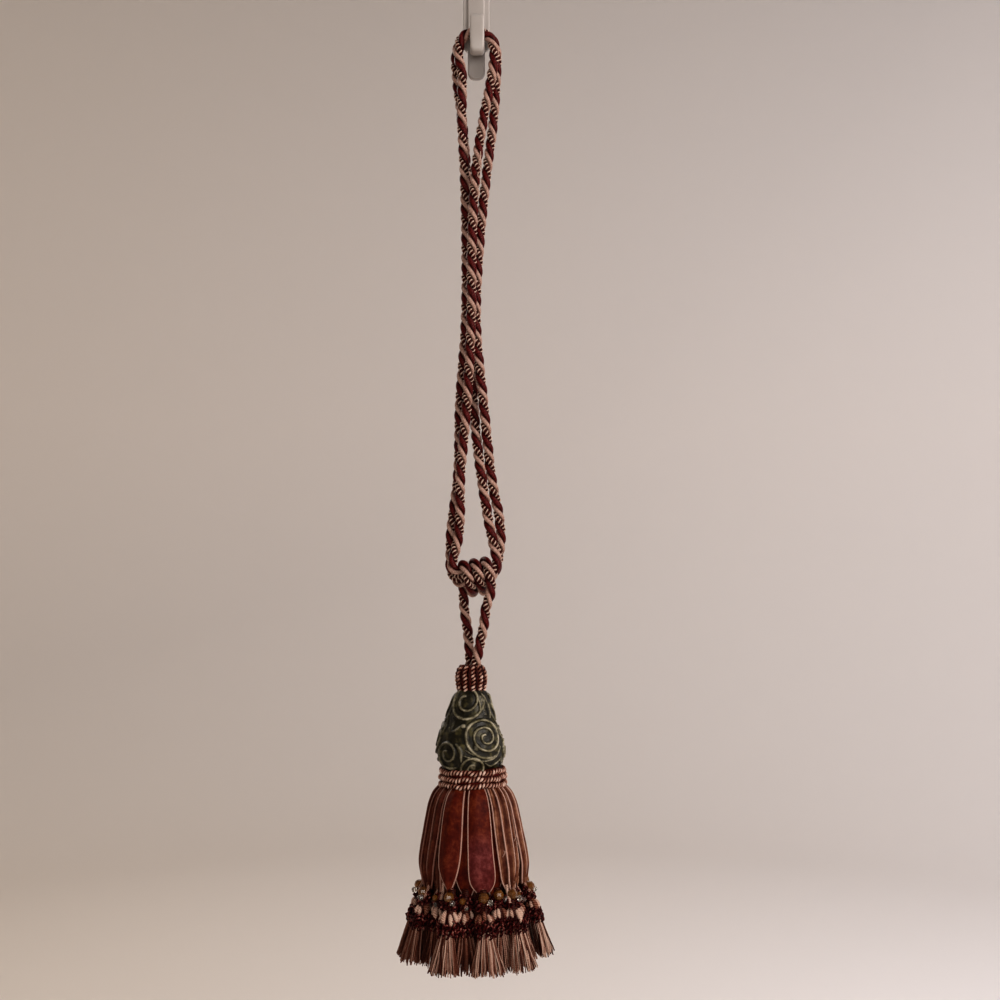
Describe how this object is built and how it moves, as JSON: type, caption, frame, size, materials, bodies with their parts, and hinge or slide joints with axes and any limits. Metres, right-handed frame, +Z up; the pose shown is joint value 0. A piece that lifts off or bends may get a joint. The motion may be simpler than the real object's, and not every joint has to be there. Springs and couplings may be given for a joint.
{
  "type": "curtain tieback tassel and wall hook",
  "caption": "Curtain tieback: twisted ring cord hung in two loops over a wall hook, with a tassel of carved head, corded neck and collar, gathered ribbons, beads and a fringe of small tassels.",
  "frame": {"origin": "on the middle line of the hook's flat back, where it lies on the wall, 35 mm below its top", "axes": "+Z up, +X to the right as seen from the room, +Y into the wall"},
  "size_m": [0.108, 0.1115, 0.7172],
  "materials": {
    "hook_plastic": "moulded, slightly glossy, grey-white",
    "cord_rayon": "three-ply twisted cord, satin burgundy, pink-tan and cream",
    "corded_trim": "fine twisted cord, pink-tan and burgundy",
    "carved_head": "dark bronze paint, relief rubbed with gold",
    "ribbon_satin": "dark red satin ribbon with a soft pile",
    "fringe_thread": "matte thread, pink-tan and burgundy"
  },
  "bodies": {
    "root": {"wall_hook": "hook_plastic", "cord_front_loop": "cord_rayon", "cord_back_loop": "cord_rayon", "cord_bail": "cord_rayon", "neck": "corded_trim", "head": "carved_head", "collar": "corded_trim", "ribbon_outer_01": "ribbon_satin", "ribbon_outer_02": "ribbon_satin", "ribbon_outer_03": "ribbon_satin", "ribbon_outer_04": "ribbon_satin", "ribbon_outer_05": "ribbon_satin", "ribbon_outer_06": "ribbon_satin", "ribbon_outer_07": "ribbon_satin", "ribbon_outer_08": "ribbon_satin", "ribbon_outer_09": "ribbon_satin", "ribbon_outer_10": "ribbon_satin", "ribbon_inner_01": "ribbon_satin", "ribbon_inner_02": "ribbon_satin", "ribbon_inner_03": "ribbon_satin", "ribbon_inner_04": "ribbon_satin", "ribbon_inner_05": "ribbon_satin", "ribbon_inner_06": "ribbon_satin", "ribbon_inner_07": "ribbon_satin", "ribbon_inner_08": "ribbon_satin", "ribbon_inner_09": "ribbon_satin", "ribbon_inner_10": "ribbon_satin", "hanger_outer_01": "fringe_thread", "hanger_outer_02": "fringe_thread", "hanger_outer_03": "fringe_thread", "hanger_outer_04": "fringe_thread", "hanger_outer_05": "fringe_thread", "hanger_outer_06": "fringe_thread", "hanger_outer_07": "fringe_thread", "hanger_outer_08": "fringe_thread", "hanger_outer_09": "fringe_thread", "hanger_outer_10": "fringe_thread", "hanger_inner_01": "fringe_thread", "hanger_inner_02": "fringe_thread", "hanger_inner_03": "fringe_thread", "hanger_inner_04": "fringe_thread", "hanger_inner_05": "fringe_thread", "hanger_inner_06": "fringe_thread", "hanger_inner_07": "fringe_thread", "hanger_inner_08": "fringe_thread", "hanger_inner_09": "fringe_thread", "hanger_inner_10": "fringe_thread"}
  },
  "joints": []
}
